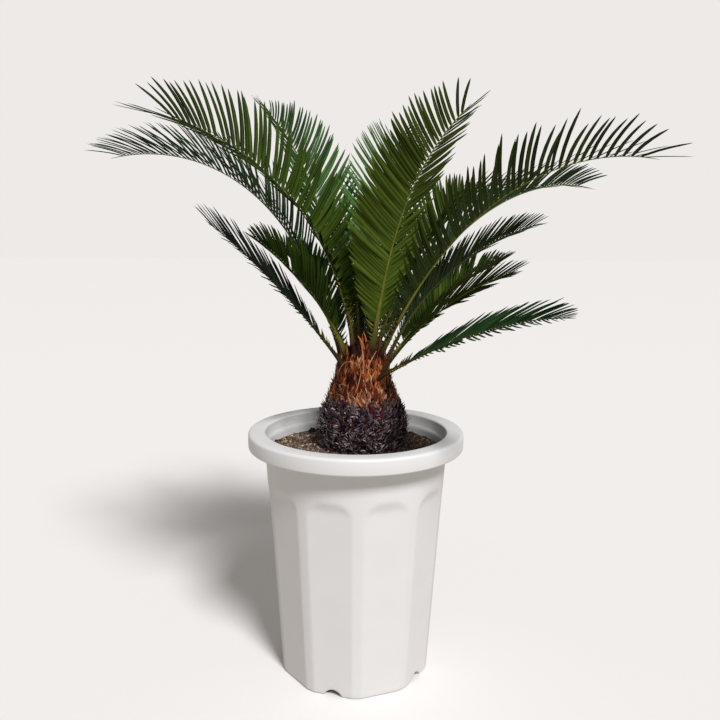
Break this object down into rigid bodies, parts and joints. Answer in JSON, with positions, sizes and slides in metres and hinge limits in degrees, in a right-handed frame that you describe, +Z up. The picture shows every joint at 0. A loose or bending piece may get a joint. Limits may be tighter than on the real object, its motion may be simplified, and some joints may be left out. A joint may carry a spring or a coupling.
{
  "type": "potted sago palm",
  "caption": "Young sago palm with a scaly bulb-shaped trunk and arching feather-shaped fronds, growing in a tall white pot with faceted sides.",
  "frame": {"origin": "on the pot's axis at the level it stands on", "axes": "+Z up the pot's axis, -Y towards the plant's front as pictured, +X to the right seen from the front"},
  "size_m": [0.7797, 0.5626, 0.834],
  "materials": {
    "pot": "satin white, moulded",
    "soil": "loose brown grains",
    "trunk": "rough old leaf bases",
    "frond": "glossy dark green leaf"
  },
  "bodies": {
    "root": {"pot": "pot", "soil": "soil", "trunk": "trunk", "frond_01": "frond", "frond_02": "frond", "frond_03": "frond", "frond_04": "frond", "frond_05": "frond", "frond_06": "frond", "frond_07": "frond", "frond_08": "frond", "frond_09": "frond", "frond_10": "frond", "frond_11": "frond", "frond_12": "frond", "frond_13": "frond", "frond_14": "frond", "frond_15": "frond", "frond_16": "frond", "frond_17": "frond", "frond_18": "frond"}
  },
  "joints": []
}
